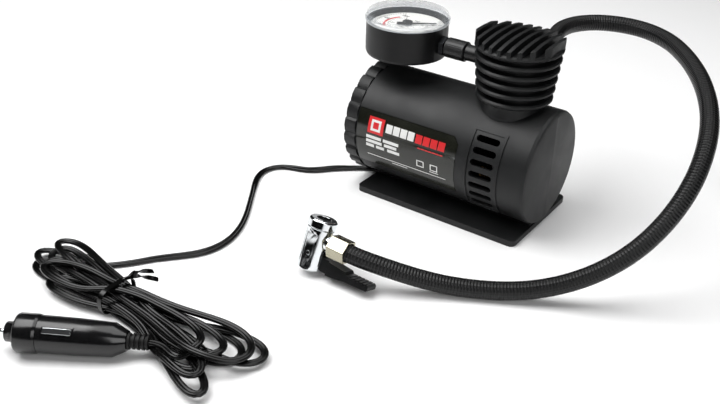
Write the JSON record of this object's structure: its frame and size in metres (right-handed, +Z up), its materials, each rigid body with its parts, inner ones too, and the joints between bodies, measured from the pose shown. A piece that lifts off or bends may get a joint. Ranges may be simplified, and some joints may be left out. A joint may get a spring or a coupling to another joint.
{
  "type": "tire inflator",
  "caption": "Portable car tyre inflator: round housing on a flat base, finned compressor head, side pressure gauge, braided hose with thumb-lock chuck, flat cord with car power plug.",
  "frame": {"origin": "centre of the underside of the base plate", "axes": "+Z up; +X along the housing from the scalloped end to the head end; -Y toward the label side"},
  "size_m": [0.3212, 0.4085, 0.1237],
  "materials": {
    "satin_black": "satin moulded ABS",
    "gloss_black": "polished",
    "rubber_black": "matt",
    "label_vinyl": "printed vinyl",
    "gauge_glass": "clear",
    "dial_white": "printed",
    "pointer_black": "painted",
    "chrome": "plated",
    "steel": "plain",
    "brass": "machined",
    "cast_alloy": "die cast",
    "gear_nylon": "moulded nylon",
    "winding_copper": "wound copper on steel",
    "braid_black": "braided over rubber",
    "cord_pvc": "flat twin cord",
    "fuse_glass": "clear"
  },
  "bodies": {
    "housing": {"front_shell": "satin_black", "rear_shell": "satin_black", "end_cap": "satin_black", "base_plate": "satin_black", "label": "label_vinyl", "shell_screw_1": "steel", "shell_screw_2": "steel", "base_screw_1": "steel", "base_screw_2": "steel", "base_screw_3": "steel", "base_screw_4": "steel", "cord_grommet": "rubber_black", "head_cover": "satin_black", "cylinder": "cast_alloy", "cylinder_head": "cast_alloy", "valve_spring": "steel", "gear_axle": "steel", "gearbox_frame": "cast_alloy", "motor_can": "steel", "motor_end_bell": "satin_black", "gauge_case": "gloss_black", "gauge_lens": "gauge_glass", "gauge_dial": "dial_white", "bourdon_tube": "brass", "gauge_socket": "gloss_black", "union_nut": "gloss_black", "gauge_stem": "gloss_black", "hose_fitting": "brass", "hose_collar": "steel", "hose": "braid_black", "hose_ferrule": "brass", "chuck_body": "chrome", "chuck_cap": "chrome", "chuck_seal": "rubber_black", "lever_pin": "chrome", "cord": "cord_pvc", "cord_hank": "cord_pvc", "plug_cord": "cord_pvc", "twist_tie": "gloss_black", "plug_cap": "satin_black", "plug_body": "satin_black", "plug_boot": "rubber_black"},
    "motor_rotor": {"motor_shaft": "steel", "motor_armature": "winding_copper", "pinion": "brass"},
    "gear": {"drive_gear": "gear_nylon"},
    "piston_set": {"piston": "cast_alloy", "piston_ring": "rubber_black", "wrist_pin": "steel"},
    "rod": {"connecting_rod": "cast_alloy", "crank_pin": "steel"},
    "pointer": {"gauge_pointer": "pointer_black"},
    "valve": {"outlet_valve": "steel"},
    "lever": {"chuck_lever": "satin_black"},
    "tip": {"plug_tip": "chrome", "plug_fuse": "fuse_glass", "tip_spring": "steel"},
    "contact_left": {"plug_contact_left": "chrome"},
    "contact_right": {"plug_contact_right": "chrome"},
    "switch": {"rocker_switch": "gloss_black"}
  },
  "joints": [
    {"name": "motor_spin", "type": "hinge", "parent": "housing", "child": "motor_rotor", "pos_m": [-0.0179, 0, 0.02646], "axis": [1, 0, 0], "continuous": true},
    {"name": "gear_spin", "type": "hinge", "parent": "housing", "child": "gear", "pos_m": [0.018, 0, 0.05166], "axis": [1, 0, 0], "continuous": true},
    {"name": "piston_slide", "type": "slide", "parent": "housing", "child": "piston_set", "axis": [0, 0, 1], "range_m": [-0.012, 0]},
    {"name": "rod_swing", "type": "hinge", "parent": "piston_set", "child": "rod", "pos_m": [0.0313, 0, 0.08616], "axis": [1, 0, 0], "range_deg": [-12, 12]},
    {"name": "pointer_turn", "type": "hinge", "parent": "housing", "child": "pointer", "pos_m": [-0.0499, 0, 0.1117], "axis": [0, 0, 1], "range_deg": [-270, 0], "stiffness_Nm_per_rad": 0.00005},
    {"name": "valve_lift", "type": "slide", "parent": "housing", "child": "valve", "axis": [0, 0, 1], "range_m": [0, 0.0012], "stiffness_N_per_m": 60, "deforming": ["valve_spring"]},
    {"name": "lever_flip", "type": "hinge", "parent": "housing", "child": "lever", "pos_m": [-0.02359, -0.1318, 0.01277], "axis": [-0.0389, 0.9277, -0.3714], "range_deg": [0, 90]},
    {"name": "tip_press", "type": "slide", "parent": "housing", "child": "tip", "axis": [0.8433, 0.5366, -0.0302], "range_m": [0, 0.0022], "stiffness_N_per_m": 900},
    {"name": "contact_left_press", "type": "slide", "parent": "housing", "child": "contact_left", "axis": [-0.3646, 0.5299, -0.7657], "range_m": [0, 0.001], "stiffness_N_per_m": 900},
    {"name": "contact_right_press", "type": "slide", "parent": "housing", "child": "contact_right", "axis": [0.3646, -0.5299, 0.7657], "range_m": [0, 0.001], "stiffness_N_per_m": 900},
    {"name": "switch_rock", "type": "hinge", "parent": "housing", "child": "switch", "pos_m": [-0.02, 0.03074, 0.05931], "axis": [0, 0.5, -0.866], "range_deg": [-10, 0]}
  ],
  "couplings": [
    {"joint": "gear_spin", "follows": "motor_spin", "ratio": -0.25}
  ]
}
